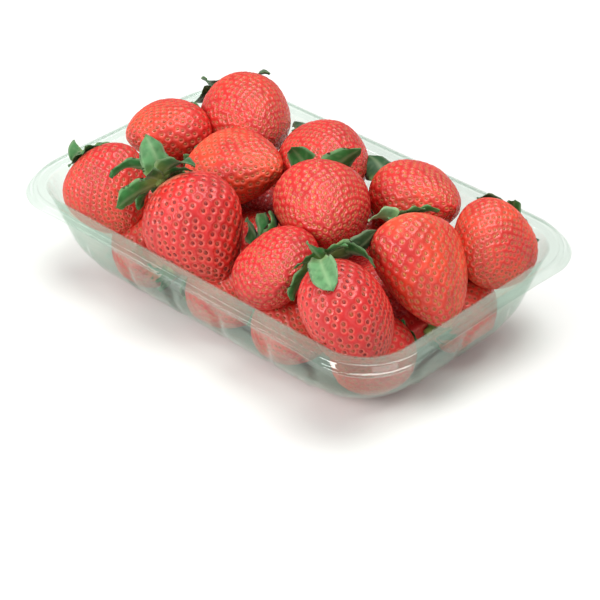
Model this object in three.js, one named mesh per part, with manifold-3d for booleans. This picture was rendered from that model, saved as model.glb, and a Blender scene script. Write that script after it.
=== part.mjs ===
// A clear plastic punnet heaped with strawberries.
//
// Millimetres, +Z up. X runs along the punnet, and the origin is the middle of its base,
// on the surface that it stands on. There are two bodies: the thermoformed tray, and the
// heap of fruit in it, which is a core with every berry and its leaves fused on.

import * as THREE from 'three';
import { mergeVertices } from 'three/addons/utils/BufferGeometryUtils.js';
import Module from 'manifold-3d';

// ---- Tray: a tub, a flat flange round its mouth and a lip that turns down ----
const TRAY_LENGTH = 190;
const TRAY_WIDTH = 120;
const TRAY_HEIGHT = 36;
const SHEET = 0.6; // thickness of the plastic
const LIP_DROP = 2.2; // from the shoulder of the flange down to the lip's free edge
const LIP_RADIUS = 22.8; // corner radius of the free edge
const SHOULDER_INSET = 1.4;
const SHOULDER_RADIUS = 25; // corner radius of the shoulder, which leaves wide corner webs
const CORNER_SAG = 0.9; // how far the lip hangs lower at the corners
const FLANGE_INSET = 6.4; // where the flange rounds over into the wall
const MOUTH_INSET = 7.6;
const MOUTH_DROP = 1.2;
const MOUTH_RADIUS = 17.8;
const END_LEAN = 8.5; // how far an end wall leans in from mouth to base
const SIDE_LEAN = 7; // the same for a side wall
const CORNER_GROWTH = 7.7; // the corner radius grows by this much down to the base
const FILLET_TIGHTENING = 0.6; // and shrinks by this share of what the base fillet takes in
const BASE_FILLET = 16; // radius of the round between wall and base
const FILLET_STEPS = 4;
const WALL_DEPTHS = [11, 14, 17]; // extra rows of the wall, where the panels begin

// Upright grooves part the walls into shallow pillow panels, each with an arched top.
const LONG_FLAT = 60; // the side walls' panels reach this far either side of the middle
const LONG_PANEL = 24;
const SHORT_FLAT = 26;
const SHORT_PANEL = 26;
const PANEL_BULGE = 1.1;
const PANEL_TOP = 12; // depth of an arch's crown below the rim
const ARCH_RISE = 4;
const PANEL_EDGE = 3; // height over which the bulge comes up at the arch
const PANEL_FOOT = 5; // and over which it dies away at the base
const GROOVE_HALF_WIDTH = 4;
const LONG_STEPS = 20;
const SHORT_STEPS = 8;
const CORNER_STEPS = 8;

// ---- Fruit ----
const GAP = 0.35; // clearance between the fruit and the tray
const SHOULDER_POWER = 2.2; // fullness of a berry's shoulder
const TIP_POWER = 0.62; // fullness of its tip
const CALYX_SHARE = 0.46; // share of a berry's length on the calyx side of its centre
const DIMPLE = 1.4; // depth of the hollow that the calyx sits in
const PLAIN_CROWN = [0, 0, -0.8]; // a calyx on the axis, a little way down in its hollow
const TOP_MESH = { rings: 10, sides: 16 };
const LOW_MESH = { rings: 6, sides: 8 };
const SEPAL_THICKNESS = 0.9;
const SEPAL_STEPS = 3;
const SEPALS = 6; // places round a calyx that get a sepal by rule, where none is named
const SEPAL_CLEARANCE = 38; // degrees between a named sepal and its nearest by rule
const LOWEST_SEPAL = -0.35; // rise of the steepest one that hangs down and still shows

// The top layer, one berry a row. at is its centre. heading and dip, in degrees, turn the
// line from calyx to tip, with dip down. shoulder is the share of the length where it is
// widest, point the sharpness of the tip, oval and ovalTurn its uneven section. crown moves the
// calyx off the axis: [turn, distance, rise above the skin]. A sepal is [place round the calyx,
// lean away from the stem, curl, length, width, twist].
const TOP_BERRIES = [
  { at: [-53.5, 30.5, 41.5], heading: -26, dip: -4, width: 35, length: 40, shoulder: 0.38, point: 1.8,
    oval: 0.02, ovalTurn: 135,
    sepals: [[312, 41, 115, 20, 7.6, 59], [346, 43, 119, 22, 8.4, 36], [225, 60, 109, 23, 8.8, -39]] },
  { at: [-70.5, 5, 40], heading: -103, dip: -11, width: 29, length: 35, shoulder: 0.39, point: 1.65,
    oval: 0.16, ovalTurn: 10,
    sepals: [] },
  { at: [-60.5, -36, 36.5], heading: -13, dip: 29, width: 30.5, length: 35, shoulder: 0.38, point: 1.75,
    oval: 0.14, ovalTurn: 50,
    sepals: [[73, 5, 115, 10, 6.3, -45]] },
  { at: [-31, 2, 40.5], heading: 8, dip: -17, width: 32, length: 39.5, shoulder: 0.32, point: 1.7,
    oval: 0.16, ovalTurn: 5,
    sepals: [] },
  { at: [-14.5, -34.5, 39], heading: -12, dip: 38, width: 37.5, length: 42.5, shoulder: 0.43, point: 1.4,
    oval: 0.05, ovalTurn: 70, crown: [0, 4.3, 0.8],
    sepals: [[270, 54, -70, 16, 9.2, 0], [5, 4, 122, 22, 9.5, -2], [5, 90, 20, 19, 9.5, -28],
      [244, 51, 106, 20, 9.5, 12]] },
  { at: [-7.5, 25.5, 41], heading: -30, dip: -12, width: 34, length: 38.5, shoulder: 0.39, point: 1.8,
    oval: 0.03, ovalTurn: 10,
    sepals: [[278, 57, -90, 22, 8.4, -44]] },
  { at: [17.5, -1, 45], heading: -38, dip: -1, width: 33.5, length: 38.5, shoulder: 0.33, point: 1.8,
    oval: 0.07, ovalTurn: 165,
    sepals: [[302, 27, 93, 19, 7.5, 0], [220, 69, 46, 22, 8.5, -1]] },
  { at: [32.5, 32.5, 40.5], heading: -3, dip: -10, width: 29.5, length: 36.5, shoulder: 0.36, point: 1.75,
    oval: 0.11, ovalTurn: 155,
    sepals: [[248, 75, -74, 16, 9.5, 33]] },
  { at: [71, 30, 37], heading: -70, dip: 2, width: 30, length: 35, shoulder: 0.34, point: 1.75,
    oval: 0.12, ovalTurn: 130,
    sepals: [[304, 60, 92, 20, 7.7, 12], [187, 68, 98, 18.5, 7, -26]] },
  { at: [66.5, -2, 41], heading: -23, dip: 32, width: 34.5, length: 42.5, shoulder: 0.28, point: 1.75,
    oval: 0.16, ovalTurn: 135,
    sepals: [[39, 15, 93, 12.5, 8, -15]] },
  { at: [24.5, -32, 36.5], heading: -35, dip: -19, width: 29.5, length: 33, shoulder: 0.39, point: 1.7,
    oval: 0.16, ovalTurn: 35,
    sepals: [[266, 87, -87, 22.5, 8.6, -48], [250, 87, -90, 23, 8.8, -56], [296, 55, 103, 21.5, 8.3, -67]] },
  { at: [61.5, -36, 38], heading: -17, dip: 33, width: 34.5, length: 40.5, shoulder: 0.47, point: 2,
    oval: 0.16, ovalTurn: 125, crown: [-84, 2.1, 0.6],
    sepals: [[112, 97, 16, 21, 8.8, 0], [44, 84, 52, 18.5, 9.5, -3], [303, 71, 16, 15.5, 6, 55],
      [206, 73, 105, 21, 9.5, 5], [192, 107, -51, 22.5, 9.5, 22]] },
];

// The bottom layer, which lies on the floor of the tray: [x, y, heading, width, length].
const LOW_BERRIES = [
  [-44.5, -31.5, 170, 30, 32], [-2, -31, 5, 29.5, 34], [31, -31.5, -8, 28, 31], [64, -26, 120, 30, 32],
  [-66, -10, 100, 28, 31], [-42, 1, 30, 28.5, 31], [-15, -3, 150, 28.5, 32], [14, -4, 80, 29.5, 32],
  [42, -2, -60, 28, 31], [67.5, 15.5, 90, 30, 32], [-66, 19, 20, 28.5, 32], [-43, 31, 190, 29, 32],
  [-17, 28, -15, 28.5, 32], [10.5, 29, 170, 28.5, 32], [38, 32, 40, 30.5, 33],
];
const LOW_RISE = -0.5; // lowest point of the bottom layer, before it is trimmed to the floor
const LOW_DIP = -5;

// The core is a rounded block that joins the berries inside the heap.
const CORE_WALL_CLEARANCE = 12;
const CORE_BOTTOM = 7;
const CORE_TOP = 22;
const CORE_BEVEL = 8;
const CORE_RADIUS = 14;

const FINEST_DETAIL = 0.25; // shorter edges and thinner triangles are merged away
const SLIVER_PASSES = 12;
const POINT_DECIMALS = 4; // points that agree to this many decimals of a millimetre are one point

const wasm = await Module();
wasm.setup();

// ---------------------------------------------------------------- shared helpers

/** A repeatable number from 0 to 1 for each whole number: the fraction of a large sine. */
function scatter(n) {
  const wave = Math.sin(n * 12.9898 + 4.1414) * 43758.5453;
  return wave - Math.floor(wave);
}

/** A smooth step from 0 to 1 as x goes from 0 to 1. */
function ease(x) {
  const t = THREE.MathUtils.clamp(x, 0, 1);
  return t * t * (3 - 2 * t);
}

/** Volume enclosed by triangles that each list three numbered points. */
function signedVolume(points, triangles) {
  let volume = 0;
  for (const [a, b, c] of triangles) {
    volume += points[a].dot(new THREE.Vector3().crossVectors(points[b], points[c])) / 6;
  }
  return volume;
}

/** The same triangles facing the other way. */
function flipped(triangles) {
  return triangles.map(([a, b, c]) => [a, c, b]);
}

/** A solid from numbered points and triangles, turned to face outwards. */
function solid(points, triangles) {
  const ordered = signedVolume(points, triangles) > 0 ? triangles : flipped(triangles);
  return new wasm.Manifold(new wasm.Mesh({
    numProp: 3,
    vertProperties: new Float32Array(points.flatMap((point) => point.toArray())),
    triVerts: new Uint32Array(ordered.flat()),
  }));
}

/** Numbered points and triangles of a geometry, with shared points merged. */
function pointsAndTriangles(geometry) {
  const bare = geometry.clone();
  bare.deleteAttribute('normal');
  bare.deleteAttribute('uv');
  const { index, attributes } = mergeVertices(bare);
  const points = Array.from({ length: attributes.position.count }, (_, i) => (
    new THREE.Vector3().fromBufferAttribute(attributes.position, i)));
  const triangles = [];
  for (let t = 0; t < index.count; t += 3) {
    const triangle = [index.getX(t), index.getX(t + 1), index.getX(t + 2)];
    if (new Set(triangle).size === 3) {
      triangles.push(triangle);
    }
  }
  return { points, triangles };
}

/** Triangles between rings of points, each ring numbered on from the one before. */
function bandTriangles(ringCount, ringSize, start = 0) {
  const triangles = [];
  for (let k = 0; k < ringCount - 1; k += 1) {
    for (let i = 0; i < ringSize; i += 1) {
      const a = start + k * ringSize + i;
      const b = start + k * ringSize + ((i + 1) % ringSize);
      triangles.push([a, b, b + ringSize], [a, b + ringSize, a + ringSize]);
    }
  }
  return triangles;
}

/** Triangles from one point to each side of a ring. */
function fanTriangles(hub, start, ringSize) {
  return Array.from({ length: ringSize }, (_, i) => [hub, start + i, start + ((i + 1) % ringSize)]);
}

// ---------------------------------------------------------------- tray

/** A corner from an end wall to a side wall: straight, arc and straight, in even steps. */
function cornerPoints(halfX, halfY, radius, flatX, flatY) {
  const path = new THREE.CurvePath();
  const arcX = halfX - radius;
  const arcY = halfY - radius;
  if (arcY > flatY) {
    path.add(new THREE.LineCurve(new THREE.Vector2(halfX, flatY), new THREE.Vector2(halfX, arcY)));
  }
  path.add(new THREE.EllipseCurve(arcX, arcY, radius, radius, 0, Math.PI / 2));
  if (arcX > flatX) {
    path.add(new THREE.LineCurve(new THREE.Vector2(arcX, halfY), new THREE.Vector2(flatX, halfY)));
  }
  return Array.from({ length: CORNER_STEPS + 1 }, (_, i) => path.getPoint(i / CORNER_STEPS));
}

/** Where a place lies in its panel: distance to the nearest groove, and 0 at mid panel to 1 there. */
function panelPlace(place, reach, width) {
  const into = (place + reach) % width;
  const nearest = Math.min(into, width - into);
  return { nearest, edge: 1 - nearest / (width / 2) };
}

/** A closed ring of columns round the tray, anticlockwise from above. */
function ring(halfX, halfY, radius) {
  const flatX = Math.min(LONG_FLAT, halfX - radius);
  const flatY = Math.min(SHORT_FLAT, halfY - radius);
  const corner = cornerPoints(halfX, halfY, radius, flatX, flatY);
  const half = [];
  for (let i = 0; i < SHORT_STEPS; i += 1) {
    const t = (2 * i) / SHORT_STEPS - 1;
    half.push({ x: halfX, y: flatY * t, outX: 1, outY: 0, ...panelPlace(SHORT_FLAT * t, SHORT_FLAT, SHORT_PANEL) });
  }
  for (let i = 0; i < CORNER_STEPS; i += 1) {
    const { x, y } = corner[i];
    half.push({ x, y, outX: 0, outY: 0, nearest: 0, edge: 1, turn: i / CORNER_STEPS });
  }
  for (let i = 0; i < LONG_STEPS; i += 1) {
    const t = 1 - (2 * i) / LONG_STEPS;
    half.push({ x: flatX * t, y: halfY, outX: 0, outY: 1, ...panelPlace(LONG_FLAT * t, LONG_FLAT, LONG_PANEL) });
  }
  for (let i = 0; i < CORNER_STEPS; i += 1) {
    const { x, y } = corner[CORNER_STEPS - i];
    half.push({ x: -x, y, outX: 0, outY: 0, nearest: 0, edge: 1, turn: i / CORNER_STEPS });
  }
  const turned = half.map((column) => ({
    ...column, x: -column.x, y: -column.y, outX: -column.outX, outY: -column.outY,
  }));
  return [...half, ...turned];
}

/** How far a wall stands out at a column, at a depth below the rim. */
function panelBulge({ nearest, edge }, depth) {
  const top = PANEL_TOP + ARCH_RISE * edge * edge;
  const fade = ease((depth - top) / PANEL_EDGE) * ease((TRAY_HEIGHT - depth) / PANEL_FOOT);
  return PANEL_BULGE * ease(nearest / GROOVE_HALF_WIDTH) * fade;
}

/** Levels of the tray's upper surface: the lip, the flange, the wall and the round to the base. */
function trayLevels() {
  const rim = (inset, radius, depth, sag) => ({ insetX: inset, insetY: inset, radius, depth, sag });
  const wallEnd = TRAY_HEIGHT - SHEET;
  const wall = (depth, inwards) => {
    const share = (depth - MOUTH_DROP) / (wallEnd - MOUTH_DROP);
    return {
      insetX: MOUTH_INSET + END_LEAN * share + inwards,
      insetY: MOUTH_INSET + SIDE_LEAN * share + inwards,
      radius: MOUTH_RADIUS + CORNER_GROWTH * share - FILLET_TIGHTENING * inwards,
      depth,
      sag: 0,
    };
  };
  const levels = [
    rim(0, LIP_RADIUS, LIP_DROP, CORNER_SAG),
    rim(SHOULDER_INSET, SHOULDER_RADIUS, 0, CORNER_SAG / 2),
    rim(FLANGE_INSET, MOUTH_RADIUS + 1, 0, 0),
    wall(MOUTH_DROP, 0),
    ...WALL_DEPTHS.map((depth) => wall(depth, 0)),
  ];
  for (let k = 0; k <= FILLET_STEPS; k += 1) {
    const angle = (Math.PI / 2) * (k / FILLET_STEPS);
    levels.push(wall(wallEnd - BASE_FILLET * (1 - Math.sin(angle)), BASE_FILLET * (1 - Math.cos(angle))));
  }
  return levels;
}

/** The tray's upper surface as rings of points. */
function traySurface() {
  return trayLevels().map(({ insetX, insetY, radius, depth, sag }) => (
    ring(TRAY_LENGTH / 2 - insetX, TRAY_WIDTH / 2 - insetY, radius).map((column) => {
      const bulge = panelBulge(column, depth);
      const hang = sag * Math.sin(Math.PI * (column.turn ?? 0));
      return new THREE.Vector3(
        column.x + bulge * column.outX, column.y + bulge * column.outY, TRAY_HEIGHT - depth - hang);
    })));
}

/** Rings moved along the surface's normals, which point up on the flange and into the tub. */
function shifted(rings, distance) {
  const size = rings[0].length;
  const last = rings.length - 1;
  return rings.map((points, k) => points.map((point, i) => {
    const down = rings[Math.min(last, k + 1)][i].clone().sub(rings[Math.max(0, k - 1)][i]);
    const round = points[(i + 1) % size].clone().sub(points[(i + size - 1) % size]);
    const normal = k === last ? new THREE.Vector3(0, 0, 1) : round.cross(down).normalize();
    return point.clone().addScaledVector(normal, distance);
  }));
}

/** The tray's sheet, from one distance above its upper surface to another below it. */
function traySheet(above, below) {
  const surface = traySurface();
  const size = surface[0].length;
  const count = surface.length;
  const upper = shifted(surface, above);
  const lower = shifted(surface, -below);
  const points = [...upper.flat(), ...lower.flat()];
  const under = count * size;
  const foot = (count - 1) * size;
  const [upperHub, lowerHub] = [upper, lower].map((rings) => (
    points.push(new THREE.Vector3(0, 0, rings[count - 1][0].z)) - 1));
  const edge = Array.from({ length: size }, (_, i) => {
    const next = (i + 1) % size;
    return [[i, under + i, under + next], [i, under + next, next]];
  });
  return solid(points, [
    ...bandTriangles(count, size),
    ...flipped(bandTriangles(count, size, under)),
    ...fanTriangles(upperHub, foot, size),
    ...flipped(fanTriangles(lowerHub, under + foot, size)),
    ...edge.flat(),
  ]);
}

// ---------------------------------------------------------------- fruit

/** A berry's own axes: along from calyx to tip, across level, and over at right angles to both. */
function berryAxes({ heading, dip }) {
  const turn = THREE.MathUtils.degToRad(heading);
  const fall = THREE.MathUtils.degToRad(dip);
  const level = Math.cos(fall);
  const along = new THREE.Vector3(level * Math.cos(turn), level * Math.sin(turn), -Math.sin(fall));
  const across = new THREE.Vector3().crossVectors(along, new THREE.Vector3(0, 0, 1)).normalize();
  return { along, across, over: new THREE.Vector3().crossVectors(along, across) };
}

/** Radius of a berry as a share of its widest, at a share of the way from calyx to tip. */
function berryProfile({ shoulder, point }, share) {
  if (share < shoulder) {
    return Math.sqrt(1 - (1 - share / shoulder) ** SHOULDER_POWER);
  }
  return (1 - ((share - shoulder) / (1 - shoulder)) ** point) ** TIP_POWER;
}

/** One berry: its profile turned about its axis, made oval and laid in its place. */
function berrySolid(berry, { rings, sides }) {
  const profile = Array.from({ length: rings + 1 }, (_, k) => {
    const share = (1 - Math.cos((Math.PI * k) / rings)) / 2;
    const hollow = k === 0 ? DIMPLE : 0;
    const radius = k % rings === 0 ? 0 : (berryProfile(berry, share) * berry.width) / 2;
    return new THREE.Vector2(radius, (share - CALYX_SHARE) * berry.length + hollow);
  });
  const { points, triangles } = pointsAndTriangles(new THREE.LatheGeometry(profile, sides));
  const { along, across, over } = berryAxes(berry);
  const lay = new THREE.Matrix4().makeBasis(over, along, across).setPosition(...berry.at);
  const ovalTurn = THREE.MathUtils.degToRad(berry.ovalTurn);
  for (const point of points) {
    const stretch = 1 + berry.oval * Math.cos(2 * (Math.atan2(point.x, point.z) - ovalTurn));
    point.set(point.x * stretch, point.y, point.z * stretch).applyMatrix4(lay);
  }
  return solid(points, triangles);
}

/** Half width of a sepal along its length, as a share of its widest: narrow, full, pointed. */
function sepalOutline(share) {
  return 0.3 * (1 - share) + 0.9 * Math.sin(Math.PI * share ** 0.8) ** 0.8;
}

/** A sepal: a thin wavy leaf that grows from the calyx and curls back over the berry. */
function sepalSolid(berry, [place, lean, curl, length, width, twist], seed) {
  const { along, across, over } = berryAxes(berry);
  const towards = (degrees) => across.clone().multiplyScalar(Math.cos(THREE.MathUtils.degToRad(degrees)))
    .addScaledVector(over, Math.sin(THREE.MathUtils.degToRad(degrees)));
  const outwards = towards(place);
  const [turn, reach, rise] = berry.crown ?? PLAIN_CROWN;
  const spot = new THREE.Vector3(...berry.at)
    .addScaledVector(along, -CALYX_SHARE * berry.length - rise)
    .addScaledVector(towards(turn), reach);
  const points = [];
  for (let j = 0; j < SEPAL_STEPS; j += 1) {
    const share = j / SEPAL_STEPS;
    const tilt = THREE.MathUtils.degToRad(lean + curl * share);
    const direction = along.clone().multiplyScalar(-Math.cos(tilt)).addScaledVector(outwards, Math.sin(tilt));
    const sideways = new THREE.Vector3().crossVectors(along, outwards)
      .applyAxisAngle(direction, THREE.MathUtils.degToRad(-twist * Math.min(1, 2 * share)));
    const face = new THREE.Vector3().crossVectors(sideways, direction);
    const half = (width / 2) * sepalOutline(share);
    const cup = 0.16 * width * Math.sin(Math.PI * share);
    const wave = 0.08 * width * Math.sin(2 * Math.PI * (1.2 * share + scatter(seed)));
    for (const [side, lift] of [
      [-half, cup + wave], [0, SEPAL_THICKNESS / 2], [half, cup - wave], [0, -SEPAL_THICKNESS / 2],
    ]) {
      points.push(spot.clone().addScaledVector(sideways, side).addScaledVector(face, lift));
    }
    spot.addScaledVector(direction, length / SEPAL_STEPS);
  }
  const ringSize = 4;
  const tip = points.push(spot) - 1;
  return solid(points, [
    [0, 2, 1], [0, 3, 2],
    ...bandTriangles(SEPAL_STEPS, ringSize),
    ...fanTriangles(tip, (SEPAL_STEPS - 1) * ringSize, ringSize),
  ]);
}

/** The sepals of a berry: the named ones, and others by rule where there is room and they show. */
function sepalsOf(berry, index) {
  const { across, over } = berryAxes(berry);
  const sepals = [...berry.sepals];
  for (let k = 0; k < SEPALS; k += 1) {
    const seed = index * 31 + k * 7 + 1;
    const place = (360 * k) / SEPALS + 24 * (scatter(seed) - 0.5);
    const angle = THREE.MathUtils.degToRad(place);
    const rise = across.z * Math.cos(angle) + over.z * Math.sin(angle);
    const apart = (named) => Math.abs(((place - named + 540) % 360) - 180);
    if (rise > LOWEST_SEPAL && berry.sepals.every(([named]) => apart(named) > SEPAL_CLEARANCE)) {
      const length = berry.width * (0.29 + 0.08 * scatter(seed + 1));
      sepals.push([place, 82 + 20 * scatter(seed + 2), 42 + 22 * scatter(seed + 3), length, length / 2, 0]);
    }
  }
  return sepals;
}

/** The bottom layer as berries of the same kind as the top ones. */
function lowBerries() {
  return LOW_BERRIES.map(([x, y, heading, width, length]) => ({
    at: [x, y, LOW_RISE + width / 2], heading, dip: LOW_DIP, width, length,
    shoulder: 0.38, point: 1.8, oval: 0, ovalTurn: 0,
  }));
}

/** The core: rings of the tray's own plan, well inside the walls, closed top and bottom. */
function coreSolid() {
  const levels = [
    [CORE_BOTTOM, CORE_BEVEL], [CORE_BOTTOM + CORE_BEVEL / 2, 0],
    [CORE_TOP - CORE_BEVEL / 2, 0], [CORE_TOP, CORE_BEVEL],
  ];
  const rings = levels.map(([z, bevel]) => {
    const inset = MOUTH_INSET + CORE_WALL_CLEARANCE + END_LEAN * (1 - z / TRAY_HEIGHT) + bevel;
    return ring(TRAY_LENGTH / 2 - inset, TRAY_WIDTH / 2 - inset, CORE_RADIUS)
      .map(({ x, y }) => new THREE.Vector3(x, y, z));
  });
  const size = rings[0].length;
  const points = rings.flat();
  const bottom = points.push(new THREE.Vector3(0, 0, CORE_BOTTOM)) - 1;
  const top = points.push(new THREE.Vector3(0, 0, CORE_TOP)) - 1;
  return solid(points, [
    ...bandTriangles(rings.length, size),
    ...flipped(fanTriangles(bottom, 0, size)),
    ...fanTriangles(top, (rings.length - 1) * size, size),
  ]);
}

/** Core, berries and leaves fused, and trimmed to clear the tray. */
function heapSolid() {
  let heap = coreSolid();
  for (const berry of lowBerries()) {
    heap = heap.add(berrySolid(berry, LOW_MESH));
  }
  TOP_BERRIES.forEach((berry, index) => {
    heap = heap.add(berrySolid(berry, TOP_MESH));
    sepalsOf(berry, index).forEach((sepal, k) => {
      heap = heap.add(sepalSolid(berry, sepal, index * 17 + k));
    });
  });
  return heap.subtract(traySheet(GAP, SHEET));
}

// ---------------------------------------------------------------- meshes

/** Triangles of a solid in groups that share no point: its outer skin, hollows and scraps. */
function shellsOf(triangles, pointCount) {
  const parent = Array.from({ length: pointCount }, (_, i) => i);
  const root = (i) => {
    let r = i;
    while (parent[r] !== r) {
      parent[r] = parent[parent[r]];
      r = parent[r];
    }
    return r;
  };
  for (const [a, b, c] of triangles) {
    parent[root(a)] = root(b);
    parent[root(b)] = root(c);
  }
  const shells = new Map();
  for (const triangle of triangles) {
    const key = root(triangle[0]);
    shells.set(key, [...(shells.get(key) ?? []), triangle]);
  }
  return [...shells.values()];
}

/** Numbers of the triangles round each point. */
function trianglesRound(triangles) {
  const round = new Map();
  triangles.forEach((triangle, t) => triangle.forEach((corner) => {
    round.set(corner, [...(round.get(corner) ?? []), t]);
  }));
  return round;
}

/** Height of a triangle above its longest side. */
function triangleHeight(points, [a, b, c]) {
  const ab = points[b].clone().sub(points[a]);
  const ac = points[c].clone().sub(points[a]);
  const longest = Math.max(ab.length(), ac.length(), points[b].distanceTo(points[c]));
  return ab.cross(ac).length() / longest;
}

/** Whether a triangle faces the same way after a change, or was too thin to face any way. */
function staysFacing(points, before, after) {
  const [old, now] = [before, after].map(([a, b, c]) => (
    new THREE.Triangle(points[a], points[b], points[c]).getNormal(new THREE.Vector3())));
  return triangleHeight(points, before) < FINEST_DETAIL || old.dot(now) > 0;
}

/** Shrinks short edges to their first end, where the surface stays closed and nothing folds over. */
function shrinkEdges(points, triangles) {
  const round = trianglesRound(triangles);
  const neighbours = (i) => new Set(round.get(i).flatMap((t) => triangles[t]));
  const settled = new Set();
  const becomes = new Map();
  const edges = triangles.flatMap(([a, b, c]) => [[a, b], [b, c], [c, a]])
    .map(([a, b]) => ({ a, b, length: points[a].distanceTo(points[b]) }))
    .filter(({ a, b, length }) => a < b && length < FINEST_DETAIL)
    .sort((one, other) => one.length - other.length);
  for (const { a, b } of edges) {
    const beside = [...neighbours(a)].filter((i) => neighbours(b).has(i) && i !== a && i !== b);
    const moving = round.get(b).map((t) => triangles[t]).filter((triangle) => !triangle.includes(a));
    const moved = moving.map((triangle) => triangle.map((corner) => (corner === b ? a : corner)));
    if (!settled.has(a) && !settled.has(b) && beside.length === 2
        && moving.every((triangle, i) => staysFacing(points, triangle, moved[i]))) {
      becomes.set(b, a);
      [...neighbours(a), ...neighbours(b)].forEach((i) => settled.add(i));
    }
  }
  return triangles.map((triangle) => triangle.map((corner) => becomes.get(corner) ?? corner))
    .filter((triangle) => new Set(triangle).size === 3);
}

/** Turns the long edge of flat triangles to join the two far corners, where that makes them fuller. */
function turnEdges(points, triangles) {
  const round = trianglesRound(triangles);
  const settled = new Set();
  const turned = triangles.map((triangle) => [...triangle]);
  triangles.forEach((triangle, t) => {
    const height = triangleHeight(points, triangle);
    if (height > FINEST_DETAIL) {
      return;
    }
    const sides = triangle.map((corner, i) => points[corner].distanceTo(points[triangle[(i + 1) % 3]]));
    const i = sides.indexOf(Math.max(...sides));
    const [a, b, c] = [triangle[i], triangle[(i + 1) % 3], triangle[(i + 2) % 3]];
    const other = round.get(a).find((n) => n !== t && triangles[n].includes(b));
    const d = triangles[other].find((corner) => corner !== a && corner !== b);
    const joined = round.get(c).some((n) => triangles[n].includes(d));
    const [first, second] = [[a, d, c], [d, b, c]];
    const fuller = Math.min(triangleHeight(points, first), triangleHeight(points, second)) > height;
    if (!joined && fuller && ![a, b, c, d].some((corner) => settled.has(corner))) {
      turned[t] = first;
      turned[other] = second;
      [a, b, c, d].forEach((corner) => settled.add(corner));
    }
  });
  return turned;
}

/** The triangles renumbered so that points in one place have one number. */
function renumbered(points, triangles) {
  const first = new Map();
  points.forEach((point, i) => {
    const place = point.toArray().map((value) => value.toFixed(POINT_DECIMALS)).join();
    first.set(place, first.get(place) ?? i);
    first.set(i, first.get(place));
  });
  return triangles.map((triangle) => triangle.map((corner) => first.get(corner)))
    .filter((triangle) => new Set(triangle).size === 3);
}

/** The triangles without their slivers, which the shared edges of meeting berries leave behind. */
function withoutSlivers(points, triangles) {
  let clean = renumbered(points, triangles);
  for (let pass = 0; pass < SLIVER_PASSES; pass += 1) {
    clean = turnEdges(points, shrinkEdges(points, clean));
  }
  return clean;
}

/** The triangles from the lowest up. */
function bottomUp(points, triangles) {
  const level = (triangle) => triangle.reduce((sum, corner) => sum + points[corner].z, 0);
  return [...triangles].sort((one, other) => level(one) - level(other));
}

/** The outer skin of a solid as a mesh, so that sealed hollows are filled and scraps dropped. */
function outerMesh(name, body, material) {
  const { vertProperties, triVerts, numVert } = body.getMesh();
  const points = Array.from({ length: numVert }, (_, i) => new THREE.Vector3().fromArray(vertProperties, 3 * i));
  const triangles = Array.from({ length: triVerts.length / 3 }, (_, t) => [...triVerts.slice(3 * t, 3 * t + 3)]);
  const shells = shellsOf(triangles, numVert);
  const volumes = shells.map((shell) => signedVolume(points, shell));
  const skin = withoutSlivers(points, shells[volumes.indexOf(Math.max(...volumes))]);
  const outer = bottomUp(points, skin);
  const geometry = new THREE.BufferGeometry().setFromPoints(outer.flat().map((corner) => points[corner]));
  geometry.computeVertexNormals();
  const mesh = new THREE.Mesh(geometry, material);
  mesh.name = name;
  return mesh;
}

const clearPlastic = new THREE.MeshStandardMaterial({ color: 0xcfe0d6, roughness: 0.12, metalness: 0 });
const berryRed = new THREE.MeshStandardMaterial({ color: 0xd8282a, roughness: 0.35, metalness: 0 });

const group = new THREE.Group();
group.add(outerMesh('tray', traySheet(0, SHEET), clearPlastic));
group.add(outerMesh('strawberries', heapSolid(), berryRed));

export default group;
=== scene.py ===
"""A clear plastic punnet heaped with strawberries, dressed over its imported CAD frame.

Metres, +Z up, in the frame of the CAD part: X runs along the punnet and the origin is the
middle of its base. Sizes are written in millimetres and turned to metres as each object is made.
"""

from collections import namedtuple

import bpy
import numpy as np
from mathutils import Matrix, Vector


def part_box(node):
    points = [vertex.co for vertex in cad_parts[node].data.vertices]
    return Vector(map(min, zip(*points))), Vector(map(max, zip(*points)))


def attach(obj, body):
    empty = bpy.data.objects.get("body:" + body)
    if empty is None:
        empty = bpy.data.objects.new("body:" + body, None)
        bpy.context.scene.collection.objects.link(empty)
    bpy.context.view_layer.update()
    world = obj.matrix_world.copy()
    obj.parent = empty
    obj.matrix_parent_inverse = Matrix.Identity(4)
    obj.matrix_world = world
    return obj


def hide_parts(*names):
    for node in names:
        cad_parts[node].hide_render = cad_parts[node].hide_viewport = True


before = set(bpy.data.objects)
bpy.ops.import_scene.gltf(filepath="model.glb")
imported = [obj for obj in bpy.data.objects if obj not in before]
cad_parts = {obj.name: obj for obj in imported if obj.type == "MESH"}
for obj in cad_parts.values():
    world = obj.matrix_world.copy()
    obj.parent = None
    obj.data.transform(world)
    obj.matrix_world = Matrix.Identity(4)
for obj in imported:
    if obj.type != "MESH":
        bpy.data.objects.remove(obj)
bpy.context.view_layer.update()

MM = 0.001
FULL_TURN = 2 * np.pi
GOLDEN_ANGLE = np.pi * (3 - 5**0.5)

# ---- Tray, in millimetres: a tub, a flange with a low bead round its mouth and a lip that turns down ----
# Insets are from the tray's outline and drops from its top. The radii are of corners in plan.
TRAY_LOW, TRAY_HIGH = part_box("tray")
TRAY_LENGTH, TRAY_WIDTH, TRAY_HEIGHT = ((TRAY_HIGH - TRAY_LOW) / MM)
SHEET = 0.45
LIP_DROP = 2.2
LIP_FOOT_INSET = 0.75
LIP_FOOT_RISE = 0.3
LIP_RADIUS = 22.8
SHOULDER_INSET = 1.4
SHOULDER_RADIUS = 25.0
CORNER_SAG = 0.9
BEAD_INSET = 3.2
BEAD_SLOPE = 0.5
BEAD_STEP = 0.5
FLANGE_INSET = 6.4
FLANGE_SLOPE = 0.6
MOUTH_INSET = 7.6
MOUTH_DROP = 1.2
MOUTH_RADIUS = 17.8
FLANGE_RADIUS = MOUTH_RADIUS + 1

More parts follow.
